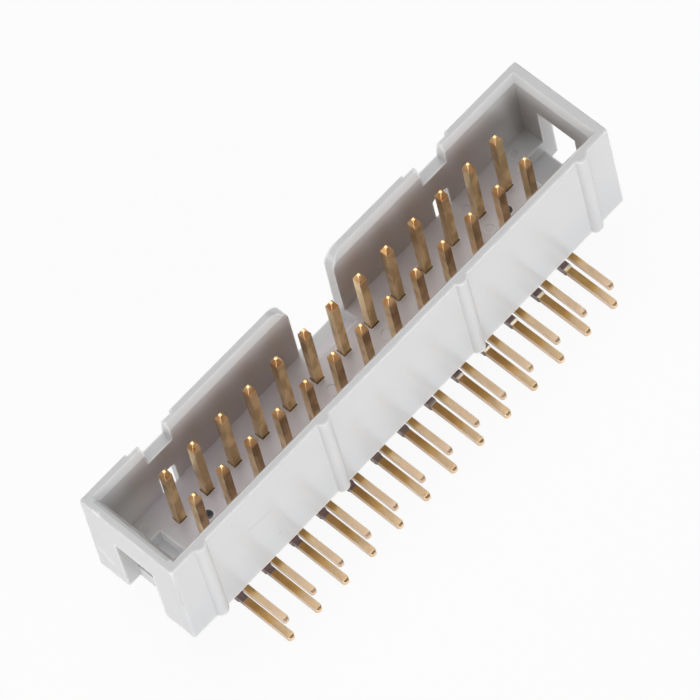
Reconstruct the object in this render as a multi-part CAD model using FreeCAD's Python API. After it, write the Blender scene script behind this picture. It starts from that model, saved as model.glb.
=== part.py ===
import FreeCAD, Part
import math
import os

os.makedirs("parts", exist_ok=True)

V = FreeCAD.Vector

# Frame of the part, in millimetres.
# X runs along the row, from the end by contact 1 to the end by contact 13.
# Y runs from the ribbed wall on the board side to the wall with the key slot.
# Z is the way the cable socket is pulled off. Z = 0 is the underside.

# Contact grid
PITCH = 2.54
COLUMNS = 13
HALF_ROW = (COLUMNS - 1) / 2 * PITCH

# Outside of the housing, its ends measured from the last contacts
END_OUTSIDE = 4.86
RIM_WIDTH = 8.0
HEIGHT = 8.9
WALL_DRAFT = 0.2
CORNER_RADIUS = 0.15
RIM_EDGE_RADIUS = 0.12

# Cavity for the socket, its ends measured from the last contacts
END_INSIDE = 3.86
CAVITY_WIDTH = 6.4
FLOOR_LEVEL = 2.5
LEAD_IN_WIDTH = 0.32
LEAD_IN_HEIGHT = 0.55

# Key slot in the far wall
KEY_WIDTH = 4.2
KEY_TOP_RADIUS = 1.25
KEY_RECESS_FRONT = 2.15
KEY_RECESS_LEVEL = 1.1

# Rim notches with the hook windows under them, in pitches from the last contacts
NOTCH_FROM_FIRST = 0.5
NOTCH_FROM_LAST = 1.5
NOTCH_WIDTH = 2.2
NOTCH_LEVEL = 7.15
RIM_BEVEL_WIDTH = 4.0
RIM_BEVEL_DEPTH = 0.23
RIM_BEVEL_LEVEL = 7.5
WINDOW_WIDTH = 1.4
WINDOW_TOP = 4.55
WINDOW_CORNER_RADIUS = 0.3
HOOK_POCKET_WIDTH = 2.1
HOOK_POCKET_TOP = 4.9
HOOK_WALL = 0.5

# Slots in the end walls and the pits in the floor behind them
END_SLOT_WIDTH = 3.25
END_SLOT_MIDDLE = -0.07
END_SLOT_TOP_OUTSIDE = 5.8
END_SLOT_TOP_INSIDE = 6.3
PIT_FROM_CONTACT = 1.48
PIT_LEVEL = 1.3

# Standoff ribs on the board side
RIB_FROM_CONTACT = 2.31
RIB_MIDDLE_PITCHES = 2.5
RIB_RADIUS = 0.53
RIB_STANDOFF = 0.36

# Small marks in the floor, in pitches
VENT_FROM_CONTACT = 0.5
VENT_DIAMETER = 0.7
VENT_DEPTH = 0.9
EJECTOR_MARKS = ((1.0, 0.0), (4.83, 0.0), (4.86, 0.84), (6.78, 0.95))
EJECTOR_DIAMETER = 0.66
EJECTOR_DEPTH = 0.05

# Holes for the contacts
PIN_RELIEF = 0.05
PIN_RELIEF_DEPTH = 0.35

# Contacts, square wire that is drawn thinner for the tails
PIN_SIDE = 0.62
TIP_LEVEL = 8.86
TIP_LENGTH = 0.46
TIP_END_SIDE = 0.2
BEND_RADIUS = 0.3
TAIL_UPPER_LEVEL = -1.06
TAIL_SIDE_UPPER = 0.46
TAIL_SIDE_LOWER = 0.51
TAIL_STEP_FIRST = 2.95
TAIL_STEP_LAST = 3.38
TAIL_STEP_LENGTH = 0.18
TAIL_END = 7.44
TAIL_POINT_LENGTH = 0.18
TAIL_POINT_SIDE = 0.3

# Overlap of the cutting tools, and the slack for finding edges by their level
OVER = 1.0
NEAR = 0.001


def box(x0, x1, y0, y1, z0, z1):
    return Part.makeBox(x1 - x0, y1 - y0, z1 - z0, V(x0, y0, z0))


def frustum(lower, upper):
    bottom = Part.makePolygon(lower + lower[:1])
    top = Part.makePolygon(upper + upper[:1])
    return Part.makeLoft([bottom, top], True, True)


def rectangle(half_x, half_y, z):
    corners = ((-1, -1), (1, -1), (1, 1), (-1, 1))
    return [V(sx * half_x, sy * half_y, z) for sx, sy in corners]


def column_x(column):
    return (column - (COLUMNS - 1) / 2) * PITCH


def row_y(row):
    return (row - 0.5) * PITCH


def round_rim(body):
    rim = []
    for edge in body.Edges:
        if all(abs(vertex.Point.z - HEIGHT) < NEAR for vertex in edge.Vertexes):
            rim.append(edge)
    return body.makeFillet(RIM_EDGE_RADIUS, rim)


def outer_body():
    top_x = HALF_ROW + END_OUTSIDE
    top_y = RIM_WIDTH / 2
    body = frustum(
        rectangle(top_x, top_y + WALL_DRAFT, 0),
        rectangle(top_x, top_y, HEIGHT),
    )
    uprights = []
    for edge in body.Edges:
        ends = [vertex.Point.z for vertex in edge.Vertexes]
        if abs(ends[0] - ends[1]) > HEIGHT / 2:
            uprights.append(edge)
    return round_rim(body.makeFillet(CORNER_RADIUS, uprights))


def rib(x):
    inside = RIB_RADIUS - RIB_STANDOFF
    y = -(RIM_WIDTH / 2 + WALL_DRAFT) + inside
    foot = Part.Wire(Part.makeCircle(RIB_RADIUS, V(x, y, 0)))
    return round_rim(Part.Face(foot).extrude(V(0, WALL_DRAFT, HEIGHT)))


def cavity():
    half_x = HALF_ROW + END_INSIDE
    half_y = CAVITY_WIDTH / 2
    well = box(-half_x, half_x, -half_y, half_y, FLOOR_LEVEL, HEIGHT + OVER)
    slope = LEAD_IN_WIDTH / LEAD_IN_HEIGHT
    spread = slope * (LEAD_IN_HEIGHT + OVER)
    mouth = frustum(
        rectangle(half_x, half_y, HEIGHT - LEAD_IN_HEIGHT),
        rectangle(half_x + spread, half_y + spread, HEIGHT + OVER),
    )
    return well.fuse(mouth)


def key_slot():
    half = KEY_WIDTH / 2
    radius = KEY_TOP_RADIUS
    shoulder = HEIGHT - radius
    turn = radius * math.cos(math.pi / 4)
    inner = CAVITY_WIDTH / 2 - LEAD_IN_WIDTH
    top = HEIGHT + OVER
    left_arc = Part.Arc(
        V(-half, inner, shoulder),
        V(-half - radius + turn, inner, shoulder + turn),
        V(-half - radius, inner, HEIGHT),
    )
    right_arc = Part.Arc(
        V(half + radius, inner, HEIGHT),
        V(half + radius - turn, inner, shoulder + turn),
        V(half, inner, shoulder),
    )
    edges = [
        Part.makeLine(V(-half, inner, FLOOR_LEVEL), V(-half, inner, shoulder)),
        left_arc.toShape(),
        Part.makeLine(V(-half - radius, inner, HEIGHT), V(-half - radius, inner, top)),
        Part.makeLine(V(-half - radius, inner, top), V(half + radius, inner, top)),
        Part.makeLine(V(half + radius, inner, top), V(half + radius, inner, HEIGHT)),
        right_arc.toShape(),
        Part.makeLine(V(half, inner, shoulder), V(half, inner, FLOOR_LEVEL)),
        Part.makeLine(V(half, inner, FLOOR_LEVEL), V(-half, inner, FLOOR_LEVEL)),
    ]
    gap = Part.Face(Part.Wire(edges)).extrude(V(0, RIM_WIDTH / 2, 0))
    outside = RIM_WIDTH / 2 + OVER
    recess = box(-half, half, KEY_RECESS_FRONT, outside, KEY_RECESS_LEVEL, FLOOR_LEVEL)
    return gap.fuse(recess)


def notch(x):
    half = NOTCH_WIDTH / 2
    inner = CAVITY_WIDTH / 2 - LEAD_IN_WIDTH
    return box(x - half, x + half, inner, RIM_WIDTH / 2 + OVER, NOTCH_LEVEL, HEIGHT + OVER)


def rim_bevel(x):
    half = RIM_BEVEL_WIDTH / 2
    rise = 1 - RIM_BEVEL_LEVEL / HEIGHT
    foot = RIM_WIDTH / 2 + WALL_DRAFT * rise
    head = RIM_WIDTH / 2 - RIM_BEVEL_DEPTH
    outside = RIM_WIDTH / 2 + OVER
    outline = [
        V(x - half, foot, RIM_BEVEL_LEVEL),
        V(x - half, outside, RIM_BEVEL_LEVEL),
        V(x - half, outside, HEIGHT),
        V(x - half, head, HEIGHT),
    ]
    return Part.Face(Part.makePolygon(outline + outline[:1])).extrude(V(RIM_BEVEL_WIDTH, 0, 0))


def window(x):
    half = WINDOW_WIDTH / 2
    inner = CAVITY_WIDTH / 2
    outside = RIM_WIDTH / 2 + OVER
    radius = WINDOW_CORNER_RADIUS
    opening = box(x - half, x + half, inner, outside, -OVER, WINDOW_TOP)
    corners = []
    for edge in opening.Edges:
        middle = edge.BoundBox.Center
        along_wall = edge.BoundBox.YLength > NEAR
        if along_wall and abs(middle.z - WINDOW_TOP) < NEAR:
            corners.append(edge)
    opening = opening.makeFillet(radius, corners)
    half = HOOK_POCKET_WIDTH / 2
    pocket = box(x - half, x + half, inner + HOOK_WALL, outside, -OVER, HOOK_POCKET_TOP)
    return opening.fuse(pocket)


def end_slot(side):
    near = END_SLOT_MIDDLE - END_SLOT_WIDTH / 2
    far = END_SLOT_MIDDLE + END_SLOT_WIDTH / 2
    inner = side * (HALF_ROW + END_INSIDE)
    face = side * (HALF_ROW + END_OUTSIDE)
    outer = face + side * OVER
    start = side * (HALF_ROW + PIT_FROM_CONTACT)
    outline = [
        V(inner, near, -OVER),
        V(inner, near, END_SLOT_TOP_INSIDE),
        V(face, near, END_SLOT_TOP_OUTSIDE),
        V(outer, near, END_SLOT_TOP_OUTSIDE),
        V(outer, near, -OVER),
    ]
    slot = Part.Face(Part.makePolygon(outline + outline[:1])).extrude(V(0, far - near, 0))
    pit = box(min(start, inner), max(start, inner), near, far, PIT_LEVEL, FLOOR_LEVEL)
    return slot.fuse(pit)


def vent(side):
    x = side * (HALF_ROW - VENT_FROM_CONTACT * PITCH)
    return Part.makeCylinder(VENT_DIAMETER / 2, VENT_DEPTH, V(x, 0, FLOOR_LEVEL - VENT_DEPTH))


def ejector_mark(x, y):
    level = FLOOR_LEVEL - EJECTOR_DEPTH
    return Part.makeCylinder(EJECTOR_DIAMETER / 2, EJECTOR_DEPTH, V(x, y, level))


def pin_hole(x, y):
    half = PIN_SIDE / 2
    wide = half + PIN_RELIEF
    bore = box(x - half, x + half, y - half, y + half, -OVER, FLOOR_LEVEL)
    relief = box(
        x - wide, x + wide, y - wide, y + wide,
        FLOOR_LEVEL - PIN_RELIEF_DEPTH, FLOOR_LEVEL,
    )
    return bore.fuse(relief)


def housing():
    body = outer_body()
    cuts = [cavity(), key_slot()]
    for side in (-1, 1):
        body = body.fuse(rib(side * RIB_MIDDLE_PITCHES * PITCH))
        body = body.fuse(rib(side * (HALF_ROW + RIB_FROM_CONTACT)))
        cuts.append(end_slot(side))
        cuts.append(vent(side))
        for step, offset in EJECTOR_MARKS:
            cuts.append(ejector_mark(side * step * PITCH, offset * PITCH))
    first = NOTCH_FROM_FIRST * PITCH - HALF_ROW
    last = HALF_ROW - NOTCH_FROM_LAST * PITCH
    for x in (first, last):
        cuts.append(notch(x))
        cuts.append(rim_bevel(x))
        cuts.append(window(x))
    for column in range(COLUMNS):
        for row in range(2):
            cuts.append(pin_hole(column_x(column), row_y(row)))
    body = body.cut(cuts)
    return body.removeSplitter()


def bent_outline(x, y, level, straight_end):
    half = PIN_SIDE / 2
    inner = BEND_RADIUS
    outer = BEND_RADIUS + PIN_SIDE
    top = TIP_LEVEL - TIP_LENGTH
    centre_y = y - half - inner
    centre_z = level + half + inner
    diagonal = math.cos(math.pi / 4)
    inner_arc = Part.Arc(
        V(x, centre_y, centre_z - inner),
        V(x, centre_y + inner * diagonal, centre_z - inner * diagonal),
        V(x, centre_y + inner, centre_z),
    )
    outer_arc = Part.Arc(
        V(x, centre_y + outer, centre_z),
        V(x, centre_y + outer * diagonal, centre_z - outer * diagonal),
        V(x, centre_y, centre_z - outer),
    )
    edges = [
        Part.makeLine(V(x, straight_end, level + half), V(x, centre_y, level + half)),
        inner_arc.toShape(),
        Part.makeLine(V(x, y - half, centre_z), V(x, y - half, top)),
        Part.makeLine(V(x, y - half, top), V(x, y + half, top)),
        Part.makeLine(V(x, y + half, top), V(x, y + half, centre_z)),
        outer_arc.toShape(),
        Part.makeLine(V(x, centre_y, level - half), V(x, straight_end, level - half)),
        Part.makeLine(V(x, straight_end, level - half), V(x, straight_end, level + half)),
    ]
    return Part.Face(Part.Wire(edges))


def post_tip(x, y):
    half = PIN_SIDE / 2
    small = TIP_END_SIDE / 2
    foot = [V(x, y, 0) + p for p in rectangle(half, half, TIP_LEVEL - TIP_LENGTH)]
    head = [V(x, y, 0) + p for p in rectangle(small, small, TIP_LEVEL)]
    return frustum(foot, head)


def tail_length(x, level, start, start_side, end, end_side):
    signs = ((-1, -1), (1, -1), (1, 1), (-1, 1))
    near = start_side / 2
    far = end_side / 2
    foot = [V(x + sx * near, start, level + sz * near) for sx, sz in signs]
    head = [V(x + sx * far, end, level + sz * far) for sx, sz in signs]
    return frustum(foot, head)


def contact(column, row):
    x = column_x(column)
    y = row_y(row)
    level = TAIL_UPPER_LEVEL - row * PITCH
    side = TAIL_SIDE_LOWER if row else TAIL_SIDE_UPPER
    share = column / (COLUMNS - 1)
    step_end = -(TAIL_STEP_FIRST + share * (TAIL_STEP_LAST - TAIL_STEP_FIRST))
    step_start = step_end + TAIL_STEP_LENGTH
    point_start = -(TAIL_END - TAIL_POINT_LENGTH)
    outline = bent_outline(x - PIN_SIDE / 2, y, level, step_start)
    wire = outline.extrude(V(PIN_SIDE, 0, 0))
    pieces = [
        post_tip(x, y),
        tail_length(x, level, step_start, PIN_SIDE, step_end, side),
        tail_length(x, level, step_end, side, point_start, side),
        tail_length(x, level, point_start, side, -TAIL_END, TAIL_POINT_SIDE),
    ]
    return wire.fuse(pieces).removeSplitter()


def save(shape, name):
    shape.exportStep("parts/" + name + ".step")


save(housing(), "housing")
for column in range(COLUMNS):
    for row, name in enumerate(("front", "key")):
        save(contact(column, row), "contact_%s_%02d" % (name, column + 1))
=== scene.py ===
import bpy
import math
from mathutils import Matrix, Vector


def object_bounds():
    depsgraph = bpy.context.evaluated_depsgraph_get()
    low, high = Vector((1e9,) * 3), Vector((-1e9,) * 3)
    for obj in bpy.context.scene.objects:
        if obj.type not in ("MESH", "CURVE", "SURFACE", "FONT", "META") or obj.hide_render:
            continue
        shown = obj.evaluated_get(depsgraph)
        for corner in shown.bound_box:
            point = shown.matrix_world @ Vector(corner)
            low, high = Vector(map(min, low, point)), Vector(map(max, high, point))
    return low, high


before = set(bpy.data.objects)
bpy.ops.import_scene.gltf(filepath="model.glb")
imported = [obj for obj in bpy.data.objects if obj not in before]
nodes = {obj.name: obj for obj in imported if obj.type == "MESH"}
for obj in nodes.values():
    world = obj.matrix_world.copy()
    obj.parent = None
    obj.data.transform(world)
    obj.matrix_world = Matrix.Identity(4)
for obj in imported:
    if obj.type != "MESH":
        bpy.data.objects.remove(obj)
cad_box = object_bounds()

MM = 0.001

# Camera, as the photograph was taken
CAMERA_PLACE = Vector((-118.08, -181.02, 396.36)) * MM
CAMERA_TURN = (27.937, 7.552, -46.944)
CAMERA_LENS = 365.7
CAMERA_SENSOR = 36.0
CAMERA_NEAR = 0.01
CAMERA_FAR = 20.0

# Studio light: a bright band low down all round, strongest in front and at the left
BAND_FULL = 0.12
BAND_GONE = 0.56
SIDE_GLOW = 0.9
FRONT_GLOW = 3.45
LEFT_GLOW = 2.45
REST_GLOW = 0.065

# Studio light: a soft lamp overhead
LAMP_WAY = Vector((0.05, 0.20, 1.0)).normalized()
LAMP_EDGE = 0.80
LAMP_FULL = 0.99
LAMP_GLOW = 2.4

# Stage
WHITE = (1.0, 1.0, 1.0)
FLOOR_SIZE = 3.0
FLOOR_COLOUR = (0.75, 0.75, 0.75)
FLOOR_ROUGHNESS = 0.9
FLOOR_GLOW = 0.93

# Rounded edges, and a painted highlight along the housing's convex edges
HOUSING_EDGE = 0.04 * MM
HIGHLIGHT_REACH = 0.25 * MM
HIGHLIGHT_FROM = 0.12
HIGHLIGHT_TO = 0.42
EDGE_SAMPLES = 8
CONTACT_EDGE = 0.022 * MM
EDGE_STEPS = 3
EDGE_ANGLE = math.radians(28)
WELD_DISTANCE = 0.001 * MM

# Share of a face's normal along an axis, from which the face counts as turned that way
FACING_FROM = 0.8
FACING_TO = 0.95

# Housing plastic, colours as a darker and a lighter tone of the same cloudy surface
HOUSING_ROUGHNESS = 0.24
OUTER = ((0.60, 0.60, 0.605), (0.64, 0.64, 0.645))
# Plastic tone inside the cavity, with a painted warm tint of light
INNER_WITH_WARM_LIGHT = ((0.64, 0.60, 0.615), (0.68, 0.64, 0.65))
# Painted shade of the lower ribbed wall
LOW_WALL_SHADE_COLOUR = (0.585, 0.595, 0.61)
# Painted light on the left part of the cavity floor
LIT_FLOOR_COLOUR = (0.68, 0.65, 0.70)
# Pale colour of the painted highlight on convex edges, of the painted light on the lead-in and of the real
# scuffs
PALE_HIGHLIGHT_AND_WEAR = (0.80, 0.80, 0.80)
CLOUD_SCALE = 260
CLOUD_DETAIL = 3.0
GRAIN_SCALE = 9000
GRAIN_DETAIL = 2.0
GRAIN_STRENGTH = 0.12
GRAIN_HEIGHT = 0.004 * MM

# The ribbed wall above the tails, a shade cooler and darker towards its bottom: painted shade
RIBBED_WALL = 3.9 * MM
LOW_WALL_SHADE_FULL = 1.0 * MM
LOW_WALL_SHADE_GONE = 5.0 * MM

# The inside of the cavity round the posts, a shade warmer than the outside: painted warm light
WARM_HALF_WIDTH = 3.25 * MM
WARM_HALF_LENGTH = 17.2 * MM
WARM_FADE = 2.0 * MM
WARM_TOP = 8.4 * MM
WARM_TOP_FADE = 0.6 * MM
SHARP = 0.05 * MM

# The left part of its floor, cooler again and lighter: painted light
LIT_FLOOR_FULL = 2.55 * MM
LIT_FLOOR_GONE = 5.1 * MM
LIT_FLOOR_LEFT = -14 * MM
LIT_FLOOR_RIGHT = 6 * MM

# Rims: painted light on the lead-in along the ribbed wall, painted shade on the fall along the inner side
# of the left end
RIM_LEVEL = 8.3 * MM
RIM_BLUR = 0.12 * MM
LEAD_BEGINS = -3.62 * MM
LEAD_ENDS = -3.32 * MM
LEAD_REACH = 19.0 * MM
LEAD_LIGHT_SHARE = 0.75
FALL_BEGINS = -19.68 * MM
FALL_ENDS = -19.12 * MM
FALL_REACH = 3.15 * MM
FALL_SHADE_SHARE = 0.7
FALL_SHADE_COLOUR = (0.40, 0.40, 0.40)

# The two blind moulding marks in the floor, with painted shade inside
MARKS = [Vector((-13.97, 0, 2.2)) * MM, Vector((13.97, 0, 2.2)) * MM]
MARK_REACH = 1.0 * MM
MARK_TOP = 2.48 * MM
HOLE_SHADE_COLOUR = (0.40, 0.41, 0.42)

# A fine hair line on the ribbed wall
HAIR_SLOPE = 0.16
HAIR_LEVEL = 3.16 * MM
HAIR_WAVE = 0.25 * MM
HAIR_SCALE = 900
HAIR_DETAIL = 1.0
NOISE_MIDDLE = 0.5
HAIR_WIDTH = 0.02 * MM
HAIR_MIDDLE = -12.95 * MM
HAIR_FULL = 0.96 * MM
HAIR_GONE = 1.2 * MM
HAIR_SHARE = 0.5
HAIR_COLOUR = (0.30, 0.30, 0.30)

# Small dark specks, and light scuffs on the end wall: where, how wide and how strong
SPECKS = [(Vector((-11.86, -4.16, 1.90)) * MM, 0.12 * MM, 0.3)]
SPECK_COLOUR = (0.25, 0.25, 0.25)
SCUFFS = [
    (Vector((-20.1, 2.45, 8.9)) * MM, 0.30 * MM, 0.8),
    (Vector((-20.1, 2.80, 8.9)) * MM, 0.22 * MM, 0.8),
    (Vector((-20.1, 3.35, 2.60)) * MM, 0.55 * MM, 0.3),
    (Vector((-20.1, 3.00, 2.10)) * MM, 0.40 * MM, 0.2),
    (Vector((-20.1, 2.75, 1.95)) * MM, 0.50 * MM, 0.3),
]

# Wire: posts from this level up, tails below it, and blotches stretched along both
POSTS_BEGIN = 1.0 * MM
POSTS_FULL = 2.0 * MM
TAIL_STRETCH = (1, 0.45, 1)
POST_STRETCH = (1, 1, 0.45)
BLOTCH_SCALE = 1500
BLOTCH_DETAIL = 1.0
BLOTCH_FROM = 0.35
BLOTCH_TO = 0.65
BLOTCH_STRENGTH = 0.03
BLOTCH_HEIGHT = 0.02 * MM
ROUGHNESS = (0.2, 0.26)
TAIL_ROUGHER = 0.08
SIDE_ROUGHER = 0.12
TAIL_LESS_METALLIC = 0.15
FOOT_LESS_METALLIC = 0.8

# Posts: gold, with painted shade on the faces turned along y, darker in the front row, deeper at the tips,
# matt at the feet
POST_GOLD = ((0.75, 0.52, 0.25), (1.00, 0.78, 0.47))
FRONT_ROW_SHADED_GOLD = ((0.42, 0.255, 0.108), (0.68, 0.43, 0.205))
KEY_ROW_SHADED_GOLD = ((0.53, 0.345, 0.145), (0.86, 0.59, 0.28))
ROWS_APART = 1.0 * MM
TIP_GOLD = ((0.90, 0.52, 0.23), (1.00, 0.66, 0.34))
TIP_BEGINS = 8.05 * MM
TIP_FULL = 8.25 * MM
FOOT_COLOUR = (0.80, 0.52, 0.27)
FOOT_TOP = 2.5 * MM

# Tails: painted reflection, deeper gold near the housing where they mirror its dark underside, paler
# towards the ends; darker towards the ends of the upper row; brown on the sheared sides
TAIL_LEVEL = -1.06 * MM
GOLD_IN_DARK_REFLECTION = ((0.90, 0.56, 0.20), (0.98, 0.64, 0.26))
GOLD_IN_BRIGHT_REFLECTION = ((0.82, 0.59, 0.35), (0.90, 0.66, 0.41))
PALE_SLOPE = 0.45
PALE_FROM = 4.35 * MM
PALE_TO = 5.15 * MM
DARKER_END_GOLD = (0.74, 0.54, 0.36)
DARKER_END_FROM = 4.6 * MM
DARKER_END_TO = 6.8 * MM
DARKER_END_DEPTH = 1.5 * MM
SHEARED_GOLD = ((0.31, 0.19, 0.09), (0.66, 0.50, 0.37))
SHEARED_FROM = 3.0 * MM
SHEARED_TO = 6.5 * MM

# The bare wire under the housing, with painted shade in front, darkest on the faces turned along x or y,
# clean behind, with a bright slope on its step
BARE_IN_SHADE = ((0.42, 0.32, 0.32), (0.11, 0.065, 0.045))
CLEAN = ((0.56, 0.53, 0.50), (0.70, 0.67, 0.63))
BARE_SHADE_FRONT = -2.4 * MM
BARE_SHADE_BACK = -1.2 * MM
STEP_END = -3.165 * MM
STEP_SLOPE = -0.0141
BARE_LENGTH = 0.4 * MM
BARE_MOST = -16 * MM
BARE_LEAST = 6 * MM
FACET_COLOUR = (0.34, 0.33, 0.27)
FACET_LENGTH = 0.24 * MM
FACET_BEGINS = -8 * MM
FACET_FULL = 16 * MM
FACET_STRENGTH = 1.0
FACET_HEIGHT = 1.0

# Sockets of the Mix node that take and give colours
MIX_FACTOR, MIX_FIRST, MIX_SECOND, MIX_RESULT = 0, 6, 7, 2


class Socket:
    """A value or colour inside a shader tree, with the usual operators."""

    def __init__(self, shading, link):
        self.shading = shading
        self.link = link

    def _maths(self, operation, *values):
        return self.shading.node("ShaderNodeMath", {"operation": operation}, dict(enumerate(values)))

    def __add__(self, other):
        return self._maths("ADD", self, other)

    __radd__ = __add__

    def __sub__(self, other):
        return self._maths("SUBTRACT", self, other)

    def __rsub__(self, other):
        return self._maths("SUBTRACT", other, self)

    def __mul__(self, other):
        return self._maths("MULTIPLY", self, other)

    __rmul__ = __mul__

    def smaller(self, other):
        return self._maths("MINIMUM", self, other)

    def larger(self, other):
        return self._maths("MAXIMUM", self, other)

    def size(self):
        return self._maths("ABSOLUTE", self)

    def ramp(self, low, high, low_value=0.0, high_value=1.0):
        values = {
            "Value": self, "From Min": low, "From Max": high,
            "To Min": low_value, "To Max": high_value,
        }
        return self.shading.node("ShaderNodeMapRange", {"interpolation_type": "SMOOTHSTEP"}, values)

    def fade(self, low, high):
        return self.ramp(low, high, 1.0, 0.0)

    def band(self, low, high, blur):
        return self.ramp(low, low + blur) * self.fade(high, high + blur)


class Shading:
    """The node tree of a material or of the surroundings, written as expressions."""

    def __init__(self, owner):
        self.data = owner
        owner.use_nodes = True
        self.tree = owner.node_tree

    def put(self, socket, value):
        if isinstance(value, Socket):
            self.tree.links.new(value.link, socket)
        elif socket.type == "RGBA":
            socket.default_value = (*value, 1.0)
        else:
            socket.default_value = value

    def add(self, kind, settings, values):
        made = self.tree.nodes.new(kind)
        for name, value in settings.items():
            setattr(made, name, value)
        for key, value in values.items():
            self.put(made.inputs[key], value)
        return made

    def node(self, kind, settings, values, output=0):
        return Socket(self, self.add(kind, settings, values).outputs[output])

    def split(self, vector):
        parts = self.add("ShaderNodeSeparateXYZ", {}, {0: vector})
        return [Socket(self, out) for out in parts.outputs]

    def coordinate(self, kind):
        return self.node("ShaderNodeTexCoord", {}, {}, kind)

    def noise(self, vector, scale, detail):
        return self.node("ShaderNodeTexNoise", {}, {"Vector": vector, "Scale": scale, "Detail": detail})

    def blend(self, factor, first, second):
        values = {MIX_FACTOR: factor, MIX_FIRST: first, MIX_SECOND: second}
        return self.node("ShaderNodeMix", {"data_type": "RGBA"}, values, MIX_RESULT)

    def vectors(self, operation, first, second, output="Vector"):
        return self.node("ShaderNodeVectorMath", {"operation": operation}, {0: first, 1: second}, output)

    def near(self, place, spot, radius):
        """How close the surface lies to a spot, from 0 at its radius to 1 at half of it."""
        return self.vectors("DISTANCE", place, tuple(spot), "Value").fade(radius / 2, radius)

    def soft_edges(self, radius):
        return self.node("ShaderNodeBevel", {"samples": EDGE_SAMPLES}, {"Radius": radius})

    def convex(self, reach):
        """How much the surface stands out as an edge or a corner."""
        settings = {"inside": True, "only_local": True, "samples": EDGE_SAMPLES}
        return 1 - self.node("ShaderNodeAmbientOcclusion", settings, {"Distance": reach}, "AO")

    def bump(self, height, strength, distance, normal):
        values = {"Height": height, "Strength": strength, "Distance": distance}
        if normal:
            values["Normal"] = normal
        return self.node("ShaderNodeBump", {}, values)


class Finish(Shading):
    """A surface finish."""

    def __init__(self, name):
        super().__init__(bpy.data.materials.new(name))
        self.shader = self.tree.nodes["Principled BSDF"]

    def feed(self, name, value):
        self.put(self.shader.inputs[name], value)

    def glow_when_seen(self, share):
        rays = self.add("ShaderNodeLightPath", {}, {})
        camera_ray, glossy_ray, through_ray = [
            Socket(self, rays.outputs["Is %s Ray" % kind]) for kind in ("Camera", "Glossy", "Transmission")
        ]
        seen = (camera_ray + glossy_ray + through_ray).smaller(1)
        own = Socket(self, self.shader.outputs[0])
        glow = self.node("ShaderNodeEmission", {}, {"Color": WHITE, "Strength": 1.0})
        mixed = self.node("ShaderNodeMixShader", {}, {0: seen * share, 1: own, 2: glow})
        self.put(self.tree.nodes["Material Output"].inputs[0], mixed)


class Plastic(Finish):
    """Light grey moulded plastic, with places and masks of the housing."""

    def __init__(self, name):
        super().__init__(name)
        self.place = self.coordinate("Object")
        self.x, self.y, self.z = self.split(self.place)

    # Painted warm light inside the cavity round the posts
    def cavity(self):
        across = self.y.size().fade(WARM_HALF_WIDTH - SHARP, WARM_HALF_WIDTH)
        along = self.x.size().fade(WARM_HALF_LENGTH - WARM_FADE, WARM_HALF_LENGTH)
        return across * along * self.z.fade(WARM_TOP - WARM_TOP_FADE, WARM_TOP)

    # Painted shade: the ribbed wall darker and cooler towards its bottom
    def low_wall_shade(self):
        outside = (0 - self.y).ramp(RIBBED_WALL, RIBBED_WALL + RIM_BLUR)
        return outside * self.z.fade(LOW_WALL_SHADE_FULL, LOW_WALL_SHADE_GONE)

    # Painted light: the left part of the cavity floor lighter and cooler
    def lit_floor(self):
        return self.z.fade(LIT_FLOOR_FULL, LIT_FLOOR_GONE) * self.x.fade(LIT_FLOOR_LEFT, LIT_FLOOR_RIGHT)

    # Painted light along the front rim's lead-in
    def lead_in_light(self):
        reach = self.x.size().fade(LEAD_REACH, LEAD_REACH + RIM_BLUR)
        return self.y.band(LEAD_BEGINS, LEAD_ENDS, RIM_BLUR) * reach

    # Painted shade along the inner side of the left end's rim
    def end_fall_shade(self):
        reach = self.y.size().fade(FALL_REACH, FALL_REACH + RIM_BLUR)
        return self.x.band(FALL_BEGINS, FALL_ENDS, RIM_BLUR) * reach

    def hair_line(self):
        wave = self.noise(self.place, HAIR_SCALE, HAIR_DETAIL) - NOISE_MIDDLE
        height = (self.z + HAIR_SLOPE * self.x - HAIR_LEVEL + HAIR_WAVE * wave).size()
        length = (self.x - HAIR_MIDDLE).size().fade(HAIR_FULL, HAIR_GONE)
        outside = (0 - self.y).ramp(RIBBED_WALL, RIBBED_WALL + SHARP)
        return height.fade(HAIR_WIDTH, 2 * HAIR_WIDTH) * length * outside

    def spots(self, places):
        return [share * self.near(self.place, spot, radius) for spot, radius, share in places]


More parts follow.
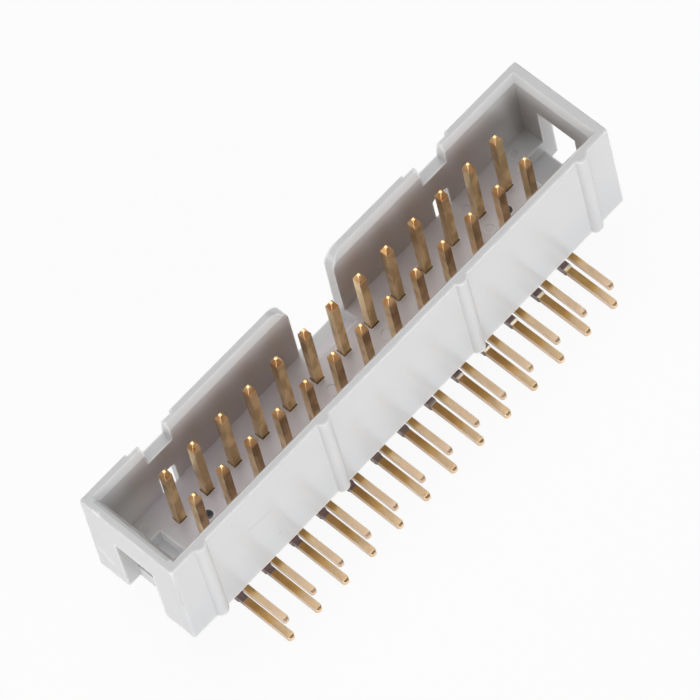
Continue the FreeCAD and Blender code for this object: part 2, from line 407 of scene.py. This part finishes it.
def housing_plastic():
    finish = Plastic("housing_plastic")
    cloud = finish.noise(finish.place, CLOUD_SCALE, CLOUD_DETAIL)
    # Painted shade on the lower ribbed wall
    outer = finish.blend(finish.low_wall_shade(), finish.blend(cloud, *OUTER), LOW_WALL_SHADE_COLOUR)
    # Painted light on the left part of the cavity floor
    inner = finish.blend(finish.lit_floor(), finish.blend(cloud, *INNER_WITH_WARM_LIGHT), LIT_FLOOR_COLOUR)
    # Painted warm light inside the cavity
    colour = finish.blend(finish.cavity(), outer, inner)
    rim = finish.z.ramp(RIM_LEVEL, RIM_LEVEL + RIM_BLUR)
    in_shaded_hole = finish.z.fade(MARK_TOP - SHARP, MARK_TOP)
    layers = [
        # Painted highlight: convex edges and corners paler
        (finish.convex(HIGHLIGHT_REACH).ramp(HIGHLIGHT_FROM, HIGHLIGHT_TO), PALE_HIGHLIGHT_AND_WEAR),
        # Painted light on the lead-in, painted shade on the left end's fall
        (LEAD_LIGHT_SHARE * rim * finish.lead_in_light(), PALE_HIGHLIGHT_AND_WEAR),
        (FALL_SHADE_SHARE * rim * finish.end_fall_shade(), FALL_SHADE_COLOUR),
    ]
    # Painted shade inside the blind holes
    layers += [(in_shaded_hole * finish.near(finish.place, spot, MARK_REACH), HOLE_SHADE_COLOUR) for spot in MARKS]
    layers += [(HAIR_SHARE * finish.hair_line(), HAIR_COLOUR)]
    layers += [(spot, SPECK_COLOUR) for spot in finish.spots(SPECKS)]
    layers += [(spot, PALE_HIGHLIGHT_AND_WEAR) for spot in finish.spots(SCUFFS)]
    for share, layer in layers:
        colour = finish.blend(share, colour, layer)
    finish.feed("Base Color", colour)
    finish.feed("Roughness", HOUSING_ROUGHNESS)
    grain = finish.noise(finish.place, GRAIN_SCALE, GRAIN_DETAIL)
    edges = finish.soft_edges(HOUSING_EDGE)
    finish.feed("Normal", finish.bump(grain, GRAIN_STRENGTH, GRAIN_HEIGHT, edges))
    return finish.data


class Wire(Finish):
    """Square wire with thin gold on it, with places and masks of the contacts."""

    def __init__(self, name):
        super().__init__(name)
        place = self.coordinate("Object")
        self.x, self.y, self.z = self.split(place)
        self.side_x, self.side_y = [face.size() for face in self.split(self.coordinate("Normal"))[:2]]
        self.facing_x = self.side_x.ramp(FACING_FROM, FACING_TO)
        self.facing_y = self.side_y.ramp(FACING_FROM, FACING_TO)
        self.post = self.z.ramp(POSTS_BEGIN, POSTS_FULL)
        self.tail = 1 - self.post
        self.foot = self.post * self.z.fade(FOOT_TOP, FOOT_TOP + SHARP)
        self.forward = 0 - self.y
        rolled = self.vectors("MULTIPLY", place, self.blend(self.post, TAIL_STRETCH, POST_STRETCH))
        self.blotches = self.noise(rolled, BLOTCH_SCALE, BLOTCH_DETAIL)
        self.shade = self.blotches.ramp(BLOTCH_FROM, BLOTCH_TO)

    def tones(self, pair):
        return self.blend(self.shade, *pair)

    def post_gold(self):
        key_row = self.y.ramp(-ROWS_APART, ROWS_APART)
        # Painted shade: faces turned along y darker, the front row darker still
        shaded_y_face = self.blend(key_row, self.tones(FRONT_ROW_SHADED_GOLD), self.tones(KEY_ROW_SHADED_GOLD))
        gold = self.blend(self.facing_y, self.tones(POST_GOLD), shaded_y_face)
        gold = self.blend(self.z.ramp(TIP_BEGINS, TIP_FULL), gold, self.tones(TIP_GOLD))
        return self.blend(self.foot, gold, FOOT_COLOUR)

    def tail_gold(self):
        level = self.z - TAIL_LEVEL
        # Upper row darker towards the ends
        darker_end = self.forward.ramp(DARKER_END_FROM, DARKER_END_TO) * level.ramp(-DARKER_END_DEPTH, 0)
        bright_reflection_gold = self.blend(darker_end, self.tones(GOLD_IN_BRIGHT_REFLECTION), DARKER_END_GOLD)
        # Painted reflection: deeper gold near the housing, paler towards the ends
        bright_reflection_part = (level * PALE_SLOPE + self.forward).ramp(PALE_FROM, PALE_TO)
        gold = self.blend(bright_reflection_part, self.tones(GOLD_IN_DARK_REFLECTION), bright_reflection_gold)
        sheared_face = self.blend(self.forward.ramp(SHEARED_FROM, SHEARED_TO), *SHEARED_GOLD)
        return self.blend(self.facing_x, gold, sheared_face)

    def bare_metal(self):
        # Painted shade on the bare wire in front, darkest on the faces turned along x or y
        shaded_bare = self.blend(self.facing_x.larger(self.facing_y), *BARE_IN_SHADE)
        return self.blend(self.y.ramp(BARE_SHADE_FRONT, BARE_SHADE_BACK), shaded_bare, self.tones(CLEAN))


def contact_metal():
    finish = Wire("contact_metal")
    step = finish.y - STEP_SLOPE * finish.x - STEP_END
    bare_end = finish.x.ramp(BARE_MOST, BARE_LEAST, -BARE_LENGTH, 0)
    bare = (step - bare_end).ramp(0, SHARP) * finish.tail
    facet = step.band(0, FACET_LENGTH, SHARP) * finish.tail
    facet = facet * (1 - finish.side_x) * finish.x.ramp(FACET_BEGINS, FACET_FULL)
    slope = step.larger(0).smaller(FACET_LENGTH) * facet
    gold = finish.blend(finish.post, finish.tail_gold(), finish.post_gold())
    colour = finish.blend(bare, gold, finish.bare_metal())
    finish.feed("Base Color", finish.blend(facet, colour, FACET_COLOUR))
    finish.feed("Metallic", 1 - TAIL_LESS_METALLIC * finish.tail - FOOT_LESS_METALLIC * finish.foot)
    roughness = finish.shade.ramp(0, 1, *ROUGHNESS) + finish.post.ramp(0, 1, TAIL_ROUGHER, 0)
    finish.feed("Roughness", roughness + SIDE_ROUGHER * finish.side_x * finish.post)
    pitted = finish.bump(finish.blotches, BLOTCH_STRENGTH, BLOTCH_HEIGHT, None)
    finish.feed("Normal", finish.bump(slope, FACET_STRENGTH, FACET_HEIGHT, pitted))
    return finish.data


def round_edges(piece):
    weld = piece.modifiers.new("weld", "WELD")
    weld.merge_threshold = WELD_DISTANCE
    bevel = piece.modifiers.new("rounded_edges", "BEVEL")
    bevel.width = CONTACT_EDGE
    bevel.segments = EDGE_STEPS
    bevel.limit_method = "ANGLE"
    bevel.angle_limit = EDGE_ANGLE
    bevel.harden_normals = True
    bevel.miter_outer = "MITER_ARC"


def dress(piece, finish):
    piece.data.materials.clear()
    piece.data.materials.append(finish)


def floor(level):
    mesh = bpy.data.meshes.new("floor")
    half = FLOOR_SIZE / 2
    corners = [(-half, -half, level), (half, -half, level), (half, half, level), (-half, half, level)]
    mesh.from_pydata(corners, [], [(0, 1, 2, 3)])
    piece = bpy.data.objects.new("floor", mesh)
    bpy.context.scene.collection.objects.link(piece)
    finish = Finish("floor_white")
    finish.feed("Base Color", FLOOR_COLOUR)
    finish.feed("Roughness", FLOOR_ROUGHNESS)
    finish.glow_when_seen(FLOOR_GLOW)
    mesh.materials.append(finish.data)


def studio():
    """A dim room with a bright band low down all round and a soft lamp overhead."""
    world = bpy.data.worlds.new("studio")
    bpy.context.scene.world = world
    room = Shading(world)
    way = room.coordinate("Generated")
    x, y, z = room.split(way)
    front = (0 - y).larger(0)
    left = (0 - x).larger(0)
    sides = SIDE_GLOW + FRONT_GLOW * front * front + LEFT_GLOW * left * left
    lamp = room.vectors("DOT_PRODUCT", way, tuple(LAMP_WAY), "Value").ramp(LAMP_EDGE, LAMP_FULL)
    back = room.tree.nodes["Background"]
    room.put(back.inputs["Color"], WHITE)
    room.put(back.inputs["Strength"], z.fade(BAND_FULL, BAND_GONE) * sides + LAMP_GLOW * lamp + REST_GLOW)


def camera():
    data = bpy.data.cameras.new("camera")
    data.lens = CAMERA_LENS
    data.sensor_width = CAMERA_SENSOR
    data.clip_start = CAMERA_NEAR
    data.clip_end = CAMERA_FAR
    piece = bpy.data.objects.new("camera", data)
    piece.location = CAMERA_PLACE
    piece.rotation_euler = [math.radians(turn) for turn in CAMERA_TURN]
    bpy.context.scene.collection.objects.link(piece)
    bpy.context.scene.camera = piece


bpy.context.scene.view_settings.view_transform = "Standard"
plastic = housing_plastic()
metal = contact_metal()
for name, piece in nodes.items():
    if name == "housing":
        dress(piece, plastic)
    else:
        dress(piece, metal)
        round_edges(piece)

floor(cad_box[0].z)
studio()
camera()
